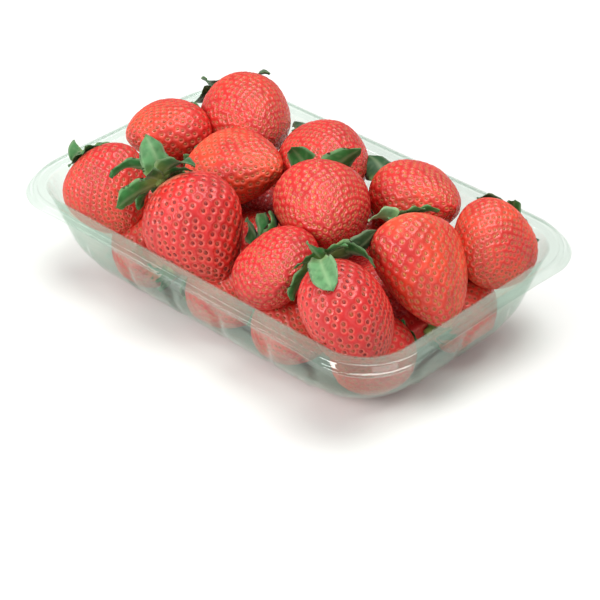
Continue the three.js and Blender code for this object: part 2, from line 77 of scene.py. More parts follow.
# The wall leans in from the mouth down to a rounded foot, and its corners widen on the way.
END_LEAN = 8.5
SIDE_LEAN = 7.0
CORNER_GROWTH = 7.7
FILLET_TIGHTENING = 0.6
BASE_FILLET = 16.0
WALL_END = TRAY_HEIGHT - SHEET
FILLET_TOP = WALL_END - BASE_FILLET

# Upright grooves part the wall's flat stretches into shallow pillow panels with arched tops.
LONG_FLAT = 60.0
LONG_PANEL = 24.0
SHORT_FLAT = 26.0
SHORT_PANEL = 26.0
PANEL_BULGE = 1.1
PANEL_TOP = 12.0
ARCH_RISE = 4.0
PANEL_EDGE = 3.0
PANEL_FOOT = 5.0
GROOVE_HALF_WIDTH = 4.0

# The mesh: columns a pitch apart along the flats, steps round a corner, and rows down the wall.
COLUMN_PITCH = 1.0
CORNER_STEPS = 40
RIM_ARC_STEPS = 5
WALL_ROWS = 25
FILLET_ROWS = 24

# ---- Fruit, in millimetres and degrees, close to the CAD part's ----
SHOULDER_POWER = 2.2
TIP_POWER = 0.62
CALYX_SHARE = 0.46
DIMPLE = 1.4
DIMPLE_REACH = 0.45
THREE_WAVE = 0.012
FIVE_WAVE = 0.008

Sepal = namedtuple("Sepal", "place lean curl length width twist pale bluntness", defaults=[1.0])


def berry(at, heading, dip, width, length, shoulder, point, oval, oval_turn, seeds, tone=0.3, gold=0.3,
          sepals=(), crown=(0, 0, -0.8)):
    """One berry's facts.

    at is a point on its axis, CALYX_SHARE of the way from calyx to tip. The axis runs from there
    along heading, an angle from +X, and points down by dip. shoulder is where it is widest, as a
    share of its length, point how blunt its tip is, oval how far from round its section is, and
    oval_turn where that is widest. seeds is the spacing of its seeds, tone how orange its skin is,
    partly its own colour and partly a painted sheen, and gold how golden its seeds are. crown moves
    the calyx off the axis: turn, distance and rise above the skin.
    """
    return dict(
        at=at, heading=heading, dip=dip, width=width, length=length, shoulder=shoulder, point=point,
        oval=oval, oval_turn=oval_turn, seeds=seeds, tone=tone, gold=gold, sepals=sepals, crown=crown,
    )


# The top layer. A sepal is, as in Sepal, its place round the calyx, lean away from the stem, curl,
# length, width, twist and paleness, and for a blunt one its bluntness, which is 1 for the others.
# A sepal's paleness is partly its own green and partly painted shade, low for leaves in shade,
# and a berry's tone is partly its own orange and partly a painted sheen.
TOP_BERRIES = [
    berry((-53.5, 30.5, 41.5), -26, -4, 35, 40, 0.38, 1.8, 0.02, 135, 2.7, 0.3, 0.4,
          [(312, 41, 115, 20, 9.6, 59, 0.25), (346, 43, 119, 22, 10.5, 36, 0.2),
           (225, 60, 109, 23, 8.8, -39, 0.15)]),
    berry((-70.5, 5, 40), -103, -11, 29, 35, 0.39, 1.65, 0.16, 10, 3.0, 0.5, 0.3),
    berry((-60.5, -36, 36.5), -13, 29, 30.5, 35, 0.38, 1.75, 0.14, 50, 2.7, 0.3, 0.3,
          [(73, 5, 115, 13, 9, -45, 0.65)]),
    berry((-31, 2, 40.5), 8, -17, 32, 39.5, 0.32, 1.7, 0.16, 5, 3.0, 0.8, 0.4),
    berry((-14.5, -34.5, 39), -12, 38, 37.5, 42.5, 0.43, 1.4, 0.05, 70, 3.7, 0.1, 0.05,
          [(270, 54, -70, 18.5, 11.5, 0, 0.7), (5, 4, 122, 22, 10.5, -2, 0.4),
           (5, 90, 20, 20, 10.5, -28, 0.5), (244, 51, 106, 20, 9.5, 12, 0.25)], (0, 4.3, 0.8)),
    berry((-7.5, 25.5, 41), -30, -12, 34, 38.5, 0.39, 1.8, 0.03, 10, 2.5, 0.15, 0.35,
          [(264, 60, -90, 24, 9, -20, 0.1)]),
    berry((17.5, -1, 45), -38, -1, 33.5, 38.5, 0.33, 1.8, 0.07, 165, 2.8, 0.1, 0.55,
          [(302, 27, 93, 19, 9.5, 0, 0.4), (220, 69, 46, 22, 10, -1, 0.35)]),
    berry((32.5, 32.5, 40.5), -3, -10, 29.5, 36.5, 0.36, 1.75, 0.11, 155, 2.7, 0.6, 0.5,
          [(248, 75, -74, 17, 12, 33, 0.15)]),
    berry((71, 30, 37), -70, 2, 30, 35, 0.34, 1.75, 0.12, 130, 2.6, 0.6, 0.4,
          [(304, 68, 92, 20, 7, 12, 0.1), (187, 78, 98, 18.5, 7, -26, 0)]),
    berry((66.5, -2, 41), -23, 32, 34.5, 42.5, 0.28, 1.75, 0.16, 135, 3.1, 0.7, 0.5,
          [(0, 34, 80, 14, 8, 0, 1.0)]),
    berry((24.5, -32, 36.5), -35, -19, 29.5, 33, 0.39, 1.7, 0.16, 35, 2.7, 0.0, 0.4,
          [(266, 87, -87, 22.5, 10.5, -48, 0.3), (250, 87, -90, 23, 10.5, -56, 0.45),
           (296, 55, 103, 21.5, 10, -67, 0.2)]),
    berry((61.5, -36, 38), -17, 33, 34.5, 40.5, 0.47, 2, 0.16, 125, 3.4, 0.05, 0.1,
          [(300, 94, 76, 28, 10.5, 0, 0.75, 2.2), (44, 84, 52, 18.5, 8.5, -3, 0.5),
           (303, 71, 16, 15.5, 6, 55, 0.6), (206, 73, 105, 21, 9.5, 5, 0.3),
           (192, 107, -51, 22.5, 9.5, 22, 0.05)], (-84, 2.1, 0.6)),
]

# The bottom layer, on the floor of the tray: x, y, heading, width, length.
LOW_PLACES = [
    (-44.5, -31.5, 170, 30, 32), (-2, -31, 5, 29.5, 34), (31, -31.5, -8, 28, 31), (64, -26, -80, 30, 32),
    (-66, -10, 100, 28, 31), (-42, 1, 30, 28.5, 31), (-15, -3, 150, 28.5, 32), (14, -4, 80, 29.5, 32),
    (42, -2, -60, 28, 31), (67.5, 15.5, 90, 30, 32), (-66, 19, 20, 28.5, 32), (-43, 31, 190, 29, 32),
    (-17, 28, -15, 28.5, 32), (10.5, 29, 170, 28.5, 32), (38, 32, 40, 30.5, 33),
]
LOW_RISE = 0.6
LOW_SHAPE = dict(dip=-5, shoulder=0.38, point=1.8, oval=0.03, oval_turn=40, seeds=2.8)
LOW_BERRIES = [
    berry(at=(x, y, LOW_RISE + width / 2), heading=heading, width=width, length=length, **LOW_SHAPE)
    for x, y, heading, width, length in LOW_PLACES
]

# Berries are numbered for scatter, the top layer from 0 and the bottom layer from LOW_START.
LOW_START = 40
TRAY_CLEARANCE = 0.15
PRESS_ROUNDS = 3
PROFILE_STEPS = 800

# Rows and columns of a berry's mesh: enough for pits in the top layer, fewer in the hidden one.
TOP_GRID = (140, 280)
LOW_GRID = (80, 160)

# Pits and seeds: a pit's depth is for seeds PIT_SPACING apart, and its width a share of the spacing.
PIT_SPACING = 2.8
PIT_DEPTH = 0.6
PIT_WIDTH = 0.32
SEED_AREA = 0.87
SEED_CROWDING = 0.5
SEED_SHIFT_ALONG = 0.35
SEED_SHIFT_ROUND = 0.5
SEEDLESS_SHARE = 0.035
SEED_LENGTH = 1.6
SEED_WIDTH = 1.0
SEED_THICKNESS = 0.55
SEED_RISE = 0.12
SEED_TAPER = 0.25
SEED_TAIL = 1.1
SEED_RINGS = 2
SEED_SIDES = 6
SEED_SCALE_LIMITS = (0.8, 1.15)
SEED_SCALES = (0.85, 0.3)
GOLD_SPREAD = 0.3

# Leaves and stems. A RULED pair is a least value and its spread, for leaves that are made by rule,
# of which a berry has SEPALS less those that the named ones crowd out. RULED_LENGTH is a share of
# the berry's width, and the cup, wave and ripple are shares of the leaf's width.
SEPALS = 7
SEPAL_CLEARANCE = 34
RULED_SHIFT = 24
RULED_LENGTH = (0.34, 0.08)
RULED_LEAN = (66, 14)
RULED_CURL = (46, 18)
RULED_PALE = (0.2, 0.4)
SEPAL_THICKNESS = 0.45
SEPAL_CUP = 0.16
SEPAL_WAVE = 0.08
SEPAL_RIPPLE = 0.05
MIDRIB_WIDTH = 0.16
VEIN_DEPTH = 0.12
SEPAL_TIP = 0.02
SEPAL_ROWS = 16
SEPAL_COLUMNS = 9
STUB_RADIUS = 1.5
STUB_LENGTH = 3.2
STUB_SIDES = 10
STUB_STEPS = (-0.3, 0.5, 0.9, 1.0)
STUB_GIRTHS = (1.5, 0.9, 0.85, 0.3)

# ---- Core that fills the inside of the heap, in millimetres, a little inside the CAD part's ----
CORE_WALL_CLEARANCE = 16
CORE_BOTTOM = 7
CORE_TOP = 22
CORE_BEVEL = 8
CORE_RADIUS = 24
CORE_ROUNDNESS = 0.6
CORE_LUMP = 1.2
CORE_LUMP_PITCH = 27.0
CORE_SEEDS = 2.8
CORE_SIDE_RINGS = 25
CORE_TOP_RINGS = 42
RINGS_PER_SEED = 4


# ---------------------------------------------------------------- shared helpers


def linear(hex_colour):
    """An sRGB hex colour as the linear, opaque RGBA that the shaders take."""
    channels = [int(hex_colour[i:i + 2], 16) / 255 for i in (1, 3, 5)]
    return [c / 12.92 if c <= 0.04045 else ((c + 0.055) / 1.055) ** 2.4 for c in channels] + [1.0]


def scatter(n):
    """A repeatable number from 0 to 1 for each whole number: the fraction of a large sine.

    Its callers multiply a berry's number by different strides, to keep their draws apart.
    """
    wave = np.sin(np.asarray(n) * 12.9898 + 4.1414) * 43758.5453
    return wave - np.floor(wave)


def varied(least_and_spread, n):
    """A value between a least and that plus a spread, at the place that scatter gives for n."""
    least, spread = least_and_spread
    return least + spread * scatter(n)


def ease(x):
    """A smooth step from 0 to 1 as x goes from 0 to 1: 3x² - 2x³."""
    t = np.clip(x, 0, 1)
    return t * t * (3 - 2 * t)


def unit(vectors):
    """Vectors divided by their lengths."""
    return vectors / np.maximum(np.linalg.norm(vectors, axis=-1, keepdims=True), 1e-12)


def band_faces(rings, size, start=0):
    """Four-sided faces between rings of size points, each ring numbered on from the one before."""
    k, i = np.meshgrid(np.arange(rings - 1), np.arange(size), indexing="ij")
    a = start + k * size + i
    b = start + k * size + (i + 1) % size
    return np.stack([a, b, b + size, a + size], -1).reshape(-1, 4)


def fan_faces(hub, start, size):
    """Triangles from one point to each side of a ring."""
    i = np.arange(size)
    return np.stack([np.full(size, hub), start + i, start + (i + 1) % size], -1)


def mesh_piece(name, points, face_groups, finish, attributes=None):
    """A smooth-shaded object from points in millimetres and arrays of faces, with point attributes."""
    mesh = bpy.data.meshes.new(name)
    points = np.asarray(points, float) * MM
    loops = np.concatenate([faces.ravel() for faces in face_groups]).astype(np.int32)
    sizes = np.concatenate([np.full(len(faces), faces.shape[1]) for faces in face_groups])
    starts = np.concatenate([[0], np.cumsum(sizes)[:-1]]).astype(np.int32)
    mesh.vertices.add(len(points))
    mesh.vertices.foreach_set("co", points.ravel())
    mesh.loops.add(len(loops))
    mesh.loops.foreach_set("vertex_index", loops)
    mesh.polygons.add(len(sizes))
    mesh.polygons.foreach_set("loop_start", starts)
    mesh.polygons.foreach_set("use_smooth", np.ones(len(sizes), bool))
    mesh.update(calc_edges=True)
    for label, values in (attributes or {}).items():
        layer = mesh.attributes.new(label, "FLOAT", "POINT")
        layer.data.foreach_set("value", np.asarray(values, np.float32))
    mesh.materials.append(finish)
    piece = bpy.data.objects.new(name, mesh)
    bpy.context.scene.collection.objects.link(piece)
    return piece


def dress(piece, node):
    """Ride the piece on the part's one body, in place of a CAD node."""
    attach(piece, "root")
    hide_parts(node)


# ---------------------------------------------------------------- materials


def material(name):
    """An empty node material, and its tree."""
    made = bpy.data.materials.new(name)
    made.use_nodes = True
    made.node_tree.nodes.clear()
    return made, made.node_tree


def add(tree, kind, settings=None, **inputs):
    """Add a node: settings are its own fields, and inputs its sockets, each a value or a link.

    An input has its socket's name, with _ for a space, or _ and its socket's number.
    """
    node = tree.nodes.new("ShaderNode" + kind)
    for field, value in (settings or {}).items():
        setattr(node, field, value)
    for label, value in inputs.items():
        socket = node.inputs[int(label[1:])] if label[0] == "_" else node.inputs[label.replace("_", " ")]
        if isinstance(value, bpy.types.NodeSocket):
            tree.links.new(value, socket)
        else:
            socket.default_value = value
    return node


def mixed(tree, share, first, second):
    """The colour between two colours at a share from 0 to 1."""
    return add(tree, "Mix", dict(data_type="RGBA"), _0=share, _6=first, _7=second).outputs[2]


def ranged(tree, value, low, high, to_low=0.0, to_high=1.0):
    """A value carried smoothly from one range to another."""
    settings = dict(interpolation_type="SMOOTHSTEP")
    return add(tree, "MapRange", settings, _0=value, _1=low, _2=high, _3=to_low, _4=to_high).outputs[0]


def product(tree, a, b):
    """Two values multiplied."""
    return add(tree, "Math", dict(operation="MULTIPLY"), _0=a, _1=b).outputs[0]


def point_value(tree, label):
    """A mesh attribute as a value."""
    return add(tree, "Attribute", dict(attribute_name=label)).outputs["Fac"]


def ripe_strawberry_skin():
    """Ripe strawberry skin: thin, waxy and wet-looking, red, with painted highlights as paler rings
    round its seed pits and painted shade in the pits.

    pit is the distance from the nearest seed in seed spacings, so painted shade darkens the pit's
    floor up to about a quarter and the painted highlight ring lies just outside it. share, from calyx
    to tip, gives the pale shoulder, and tone how orange the berry is, in patches: partly its own
    colour and partly a painted sheen, the pale wash that light leaves on it.
    """
    made, tree = material("ripe_strawberry_skin")
    place = add(tree, "TexCoord").outputs["Object"]
    patch_mm, blotch_mm, fine_mm = 22.0, 9.0, 0.9
    patch = add(tree, "TexNoise", None, Vector=place, Scale=1 / (patch_mm * MM), Detail=1.0).outputs[0]
    blotch = add(tree, "TexNoise", None, Vector=place, Scale=1 / (blotch_mm * MM), Detail=2.0).outputs[0]
    fine = add(tree, "TexNoise", None, Vector=place, Scale=1 / (fine_mm * MM), Detail=2.0).outputs[0]
    pit = point_value(tree, "pit")
    share = point_value(tree, "share")
    # Orange in patches: partly the berry's own colour and partly a painted sheen, the pale wash of light.
    tone = product(tree, point_value(tree, "tone"), ranged(tree, patch, 0.36, 0.62, 0.3, 1.4))
    skin = mixed(tree, tone, linear("#C80E12"), linear("#E2431F"))
    skin = mixed(tree, ranged(tree, blotch, 0.40, 0.66, 0.0, 0.5), skin, linear("#A80C0E"))
    # Painted highlight: a pale ring round each pit, where light would catch the pit's rim.
    ring = product(tree, ranged(tree, pit, 0.18, 0.26), ranged(tree, pit, 0.42, 0.31))
    skin = mixed(tree, product(tree, ring, 0.21), skin, linear("#F2967C"))
    # Painted shade: the skin darkened on each pit's floor, where its hollow is shaded.
    skin = mixed(tree, ranged(tree, pit, 0.26, 0.12, 0.0, 0.6), skin, linear("#960A12"))
    skin = mixed(tree, ranged(tree, share, 0.10, 0.01, 0.0, 0.7), skin, linear("#EBAE86"))
    relief = add(tree, "Bump", None, Strength=0.3, Distance=0.05 * MM, Height=fine).outputs[0]
    shader = add(
        tree, "BsdfPrincipled", None, Base_Color=skin, Roughness=0.55, IOR=1.5, Normal=relief,
        Subsurface_Weight=0.1, Subsurface_Radius=(1.0, 0.25, 0.15), Subsurface_Scale=1.0 * MM,
        Coat_Weight=0.35, Coat_Roughness=0.14,
    )
    add(tree, "OutputMaterial", None, Surface=shader.outputs[0])
    return made


def strawberry_seed():
    """Strawberry seeds: small dry achenes, golden where ripe and red-brown where dry."""
    made, tree = material("strawberry_seed")
    gold = point_value(tree, "gold")
    shade = mixed(tree, gold, linear("#86221A"), linear("#DE8E48"))
    shader = add(tree, "BsdfPrincipled", None, Base_Color=shade, Roughness=0.4, IOR=1.5)
    add(tree, "OutputMaterial", None, Surface=shader.outputs[0])
    return made


def fresh_calyx_leaf():
    """Fresh calyx leaf: matt and slightly downy, green with paler veins, yellower at its foot.

    tone runs from a dark leaf through mid green at a half to a pale grey-green one. It is partly
    each leaf's own green and partly painted shade, low for leaves that lie in shade.
    """
    made, tree = material("fresh_calyx_leaf")
    place = add(tree, "TexCoord").outputs["Object"]
    blotch_mm = 3.0
    blotch = add(tree, "TexNoise", None, Vector=place, Scale=1 / (blotch_mm * MM), Detail=3.0).outputs[0]
    tone = point_value(tree, "tone")
    # Dark to pale green by tone: partly each leaf's own green and partly painted shade for leaves in shade.
    leaf = mixed(tree, ranged(tree, tone, 0.0, 0.5), linear("#0E3A17"), linear("#2A7634"))
    leaf = mixed(tree, ranged(tree, tone, 0.5, 1.0), leaf, linear("#7EA87A"))
    leaf = mixed(tree, ranged(tree, blotch, 0.4, 0.7, 0.0, 0.4), leaf, linear("#114219"))
    leaf = mixed(tree, product(tree, point_value(tree, "heart"), 0.55), leaf, linear("#B4C266"))
    leaf = mixed(tree, product(tree, point_value(tree, "vein"), 0.35), leaf, linear("#BCD0A0"))
    shader = add(
        tree, "BsdfPrincipled", None, Base_Color=leaf, Roughness=0.55, IOR=1.4,
        Sheen_Weight=0.1, Sheen_Roughness=0.4,
    )
    add(tree, "OutputMaterial", None, Surface=shader.outputs[0])
    return made


def thermoformed_clear_pet():
    """Thermoformed PET sheet: clear but a little hazy, very glossy, grey-green where seen edge on.

    Each side of the sheet lets most light through tinted, scatters some, and mirrors the room
    more the flatter it is seen.
    """
    made, tree = material("thermoformed_clear_pet")
    slant = add(tree, "LayerWeight", None, Blend=0.5).outputs["Facing"]
    haze = ranged(tree, slant, 0.1, 1.0, 0.0, 0.18)
    steep = add(tree, "Math", dict(operation="POWER"), _0=slant, _1=5.0).outputs[0]
    mirror = add(tree, "Math", dict(operation="MULTIPLY_ADD"), _0=steep, _1=0.9, _2=0.04).outputs[0]
    through = add(tree, "BsdfTransparent", None, Color=linear("#F4F9F6"))
    scattered = add(tree, "BsdfDiffuse", None, Color=linear("#A6C2B0"))
    glossy = add(tree, "BsdfGlossy", None, Color=linear("#FFFFFF"), Roughness=0.02)
    body = add(tree, "MixShader", None, _0=haze, _1=through.outputs[0], _2=scattered.outputs[0])
    sheet = add(tree, "MixShader", None, _0=mirror, _1=body.outputs[0], _2=glossy.outputs[0])
    add(tree, "OutputMaterial", None, Surface=sheet.outputs[0])
    return made


def matt_studio_floor():
    """Matt white studio board."""
    made, tree = material("matt_studio_floor")
    shader = add(tree, "BsdfPrincipled", None, Base_Color=linear("#EAEAE8"), Roughness=0.9)
    add(tree, "OutputMaterial", None, Surface=shader.outputs[0])
    return made


# ---------------------------------------------------------------- tray


def rounded_run(corners):
    """A run through (inset, depth, radius) corners, each but the ends turned into an arc.

    An arc starts and ends at its radius times the tangent of half the turn from the corner, and
    is drawn as the quadratic curve between those two points, which is close to it.
    """
    run = [np.array(corners[0][:2], float)]
    for before, corner, after in zip(corners, corners[1:], corners[2:]):
        middle = np.array(corner[:2], float)
        back = unit(np.array(before[:2], float) - middle)
        onward = unit(np.array(after[:2], float) - middle)
        half_turn = (np.pi - np.arccos(np.clip(back @ onward, -1, 1))) / 2
        reach = corner[2] * np.tan(half_turn)
        start, end = middle + back * reach, middle + onward * reach
        for t in np.linspace(0, 1, RIM_ARC_STEPS):
            run.append((1 - t) ** 2 * start + 2 * t * (1 - t) * middle + t * t * end)
    run.append(np.array(corners[-1][:2], float))
    return np.array(run)


def wall_plan(depth):
    """The wall's plan at a depth: inset along X, inset along Y and corner radius.

    The wall leans in evenly with depth, and its foot is a quarter circle down to the base.
    """
    below = np.clip((depth - FILLET_TOP) / BASE_FILLET, 0, 1)
    inwards = BASE_FILLET * (1 - np.sqrt(1 - below**2))
    share = (depth - MOUTH_DROP) / (WALL_END - MOUTH_DROP)
    radius = MOUTH_RADIUS + CORNER_GROWTH * share - FILLET_TIGHTENING * inwards
    return MOUTH_INSET + END_LEAN * share + inwards, MOUTH_INSET + SIDE_LEAN * share + inwards, radius


def tray_levels():
    """Levels of the tray's upper surface: inset along X, along Y, corner radius, depth and sag.

    The rim is a rounded run over lip, shoulder, a low bead and the flange, and the wall follows
    wall_plan.
    """
    rim_inset, rim_depth = rounded_run([
        (0, LIP_DROP, 0),
        (LIP_FOOT_INSET, LIP_DROP - LIP_FOOT_RISE, 0.5),
        (SHOULDER_INSET, 0, 0.8),
        (BEAD_INSET, 0, 0.6),
        (BEAD_INSET + BEAD_SLOPE, BEAD_STEP, 0.5),
        (FLANGE_INSET + FLANGE_SLOPE, BEAD_STEP, 0.8),
        (MOUTH_INSET, MOUTH_DROP, 0),
    ]).T
    slope = np.concatenate([
        np.linspace(MOUTH_DROP, FILLET_TOP, WALL_ROWS + 1)[1:],
        FILLET_TOP + BASE_FILLET * np.sin(np.linspace(0, np.pi / 2, FILLET_ROWS + 1)[1:]),
    ])
    inset_x, inset_y, radius = wall_plan(slope)
    rim_radius = np.interp(
        rim_inset, [0, SHOULDER_INSET, FLANGE_INSET, MOUTH_INSET],
        [LIP_RADIUS, SHOULDER_RADIUS, FLANGE_RADIUS, MOUTH_RADIUS])
    sag = np.interp(rim_inset, [0, SHOULDER_INSET, FLANGE_INSET], [CORNER_SAG, CORNER_SAG / 2, 0])
    return dict(
        inset_x=np.concatenate([rim_inset, inset_x]),
        inset_y=np.concatenate([rim_inset, inset_y]),
        radius=np.concatenate([rim_radius, radius]),
        depth=np.concatenate([rim_depth, slope]),
        sag=np.concatenate([sag, 0 * slope]),
    )


def press_into_tray(points):
    """Points moved in to where the tray's wall and floor let them be.

    At a point's depth the tray's plan is a rounded rectangle, and the point is beyond it by its
    distance from the rectangle of the corners' centres, less the corner radius. The foot of the
    wall is a quarter circle, so the point's reach and depth from that circle's centre are scaled
    back together. A few rounds settle it, as the plan changes with the depth.
    """
    half = np.array([TRAY_LENGTH, TRAY_WIDTH]) / 2
    side = np.sign(points[..., :2])
    plan = np.abs(points[..., :2])
    depth = TRAY_HEIGHT - points[..., 2]
    limit = BASE_FILLET - TRAY_CLEARANCE
    for _ in range(PRESS_ROUNDS):
        inset_x, inset_y, radius = wall_plan(np.clip(depth, MOUTH_DROP, WALL_END))
        corner = half - np.stack([inset_x, inset_y], -1) - radius[..., None]
        past = plan - corner
        most = past.max(-1, keepdims=True)
        outward = np.where(most > 0, np.maximum(past, 0), past == most)
        beyond = (unit(outward) * past).sum(-1) - radius
        below = np.clip(depth - FILLET_TOP, 0, limit)
        reach = np.maximum(np.sqrt(BASE_FILLET**2 - below**2) + beyond, 0)
        scale = np.minimum(1, limit / np.maximum(np.hypot(reach, below), 1e-9))
        plan = plan - unit(outward) * (reach * (1 - scale))[..., None]
        depth = np.where(depth > FILLET_TOP, FILLET_TOP + below * scale, depth)
    pressed = np.concatenate([plan * side, (TRAY_HEIGHT - depth)[..., None]], -1)
    return np.where(points[..., 2:] > TRAY_HEIGHT, points, pressed)


def flat_places():
    """Places along the flat stretches of an end wall and a side wall, as shares of their reach."""
    short = np.linspace(-1, 1, int(2 * SHORT_FLAT / COLUMN_PITCH) + 1)[:-1]
    long = np.linspace(1, -1, int(2 * LONG_FLAT / COLUMN_PITCH) + 1)[:-1]
    return short, long


def half_ring(half_x, half_y, radius):
    """x and y of half a ring at each level, through end wall, corner, side wall and corner.

    A corner is straight, arc and straight, in even steps along its length, and the second one
    mirrors the first.
    """
    short, long = flat_places()
    flat_x = np.minimum(LONG_FLAT, half_x - radius)
    flat_y = np.minimum(SHORT_FLAT, half_y - radius)
    arc_x, arc_y = half_x - radius, half_y - radius
    first, middle, last = arc_y - flat_y, radius * np.pi / 2, arc_x - flat_x
    along = np.linspace(0, 1, CORNER_STEPS + 1) * (first + middle + last)
    angle = np.clip((along - first) / radius, 0, np.pi / 2)
    corner_x = arc_x + radius * np.cos(angle) - np.maximum(0, along - first - middle)
    corner_y = arc_y + radius * np.sin(angle) - np.maximum(0, first - along)
    x = np.hstack([half_x + 0 * short, corner_x[:, :-1], flat_x * long, -corner_x[:, :0:-1]])
    y = np.hstack([flat_y * short, corner_y[:, :-1], half_y + 0 * long, corner_y[:, :0:-1]])
    return x, y


def panel_place(place, reach, width):
    """The distance of a place on a flat stretch from the nearest groove, and its edge share.

    The edge share runs from 0 at its panel's middle to 1 at the groove.
    """
    into = (place * reach + reach) % width
    nearest = np.minimum(into, width - into)
    return nearest, 1 - 2 * nearest / width


def column_facts():
    """Facts for each column of half a ring: outward pair, nearest groove, edge share and sag share.

    The outward pair is zero in the corners, which have no panels. The rim sags only there, by a
    half sine over each corner.
    """
    short, long = flat_places()
    turn = np.linspace(0, 1, CORNER_STEPS + 1)[:-1]
    still = 0 * turn
    near_short, edge_short = panel_place(short, SHORT_FLAT, SHORT_PANEL)
    near_long, edge_long = panel_place(long, LONG_FLAT, LONG_PANEL)
    corner_sag = np.sin(np.pi * turn)
    out_x = np.concatenate([1 + 0 * short, still, 0 * long, still])
    out_y = np.concatenate([0 * short, still, 1 + 0 * long, still])
    nearest = np.concatenate([near_short, still, near_long, still])
    edge = np.concatenate([edge_short, still + 1, edge_long, still + 1])
    sag = np.concatenate([0 * short, corner_sag, 0 * long, corner_sag])
    return out_x, out_y, nearest, edge, sag


def tray_surface():
    """The tray's upper surface as levels of rings of points, with the wall's pillow panels.

    A panel stands out by PANEL_BULGE between its grooves, below an arch that is highest in
    the middle of the panel, and fades out at the base.
    """
    level = tray_levels()
    half_x = (TRAY_LENGTH / 2 - level["inset_x"])[:, None]
    half_y = (TRAY_WIDTH / 2 - level["inset_y"])[:, None]
    depth = level["depth"][:, None]
    x, y = half_ring(half_x, half_y, level["radius"][:, None])
    out_x, out_y, nearest, edge, sag = column_facts()
    top = PANEL_TOP + ARCH_RISE * edge**2
    bulge = PANEL_BULGE * ease(nearest / GROOVE_HALF_WIDTH) * ease((depth - top) / PANEL_EDGE)
    bulge = bulge * ease((TRAY_HEIGHT - depth) / PANEL_FOOT)
    x = x + bulge * out_x
    y = y + bulge * out_y
    z = TRAY_HEIGHT - depth - level["sag"][:, None] * sag
    half = np.stack([x, y, z], -1)
    return np.concatenate([half, half * [-1, -1, 1]], axis=1)


def tray_piece(finish):
    """The sheet: its upper surface, the same moved down its normals, an edge and two floors."""
    upper = tray_surface()
    rings, size = upper.shape[:2]
    around = np.roll(upper, -1, axis=1) - np.roll(upper, 1, axis=1)
    down = np.gradient(upper, axis=0)
    normal = unit(np.cross(around, down))
    normal[-1] = (0, 0, 1)
    lower = upper - SHEET * normal
    floors = np.array([[0, 0, upper[-1, 0, 2]], [0, 0, lower[-1, 0, 2]]])
    points = np.concatenate([upper.reshape(-1, 3), lower.reshape(-1, 3), floors])
    under = rings * size
    i = np.arange(size)
    after = (i + 1) % size
    edge = np.stack([i, under + i, under + after, after], -1)
    faces = [
        band_faces(rings, size),
        band_faces(rings, size, under)[:, ::-1],
        edge,
        fan_faces(2 * under, under - size, size),
        fan_faces(2 * under + 1, 2 * under - size, size)[:, ::-1],
    ]
    piece = mesh_piece("tray_sheet", points, faces, finish)
    dress(piece, "tray")


# ---------------------------------------------------------------- berries


def berry_axes(fruit):
    """The berry's own axes: along from calyx to tip, across level, over square to both."""
    turn, fall = np.radians(fruit["heading"]), np.radians(fruit["dip"])
    along = np.array([np.cos(fall) * np.cos(turn), np.cos(fall) * np.sin(turn), -np.sin(fall)])
    across = unit(np.cross(along, (0, 0, 1)))
    return along, across, np.cross(along, across)


def berry_profile(fruit, share):
    """Radius and distance along the axis at a share of the way from calyx to tip.

    Up to the shoulder the radius is the root of 1 - (1 - share/shoulder)^SHOULDER_POWER, and
    beyond it (1 - way^point)^TIP_POWER, way being the share of what is left. The calyx sits in a
    hollow that fades out a little under half the radius from the axis.
    """
    shoulder, point = fruit["shoulder"], fruit["point"]
    near = np.sqrt(np.clip(1 - np.clip(1 - share / shoulder, 0, 1) ** SHOULDER_POWER, 0, 1))
    far = (1 - np.clip((share - shoulder) / (1 - shoulder), 0, 1) ** point) ** TIP_POWER
    radius = np.where(share < shoulder, near, far)
    hollow = np.where(share < shoulder, DIMPLE * np.clip(1 - radius / DIMPLE_REACH, 0, 1) ** 2, 0)
    return radius * fruit["width"] / 2, (share - CALYX_SHARE) * fruit["length"] + hollow


def berry_points(fruit, share, turn, seed):
    """Points of a berry's skin at shares along it and turns about it, before its pits.

    The section is an oval: radius times 1 + oval·cos 2(turn - oval_turn), with two gentle waves,
    three and five to a turn, that make each berry a little lopsided. The tray then presses it in.
    """
    along, across, over = berry_axes(fruit)
    radius, way = berry_profile(fruit, share)
    phase = FULL_TURN * scatter(np.array([seed, seed + 50]))
    oval = 1 + fruit["oval"] * np.cos(2 * (turn - np.radians(fruit["oval_turn"])))
    three = THREE_WAVE * np.sin(3 * turn + 5 * share + phase[0])
    five = FIVE_WAVE * np.sin(5 * turn - 7 * share + phase[1])
    reach = radius * (oval + (three + five) * np.sin(np.pi * share))
    side = np.cos(turn)[..., None] * across + np.sin(turn)[..., None] * over
    return press_into_tray(np.array(fruit["at"]) + way[..., None] * along + reach[..., None] * side)


def seed_places(fruit, number):
    """Shares and turns of a berry's seeds: a golden-angle spiral with equal area to each seed.

    The area up to a share is the running sum of radius times step length along the profile, with
    more weight near the tip, where seeds crowd. Each seed has SEED_AREA of its spacing squared,
    as in a honeycomb, and is shifted a little at random.
    """
    share = np.linspace(0, 1, PROFILE_STEPS)
    radius, way = berry_profile(fruit, share)
    step = np.hypot(np.diff(radius), np.diff(way))
    crowd = 1 + SEED_CROWDING * share[1:] ** 3
    area = np.concatenate([[0], np.cumsum(FULL_TURN * (radius[1:] + radius[:-1]) / 2 * step * crowd)])
    count = int(area[-1] / (SEED_AREA * fruit["seeds"] ** 2))
    index = np.arange(count) + 0.5
    shift = scatter(np.arange(count) + 900 * number) - 0.5
    at = np.interp((index + SEED_SHIFT_ALONG * shift) / count * area[-1], area, share)
    shift_round = SEED_SHIFT_ROUND * shift * fruit["seeds"]
    turn = index * GOLDEN_ANGLE + shift_round / np.maximum(np.interp(at, share, radius), 1)
    keep = at > SEEDLESS_SHARE
    return at[keep], turn[keep]


def surface_normals(points):
    """Normals of a closed ring grid: the cross product of the steps around it and along it."""
    around = np.roll(points, -1, axis=1) - np.roll(points, 1, axis=1)
    return unit(np.cross(around, np.gradient(points, axis=0)))


SLICE = 8192


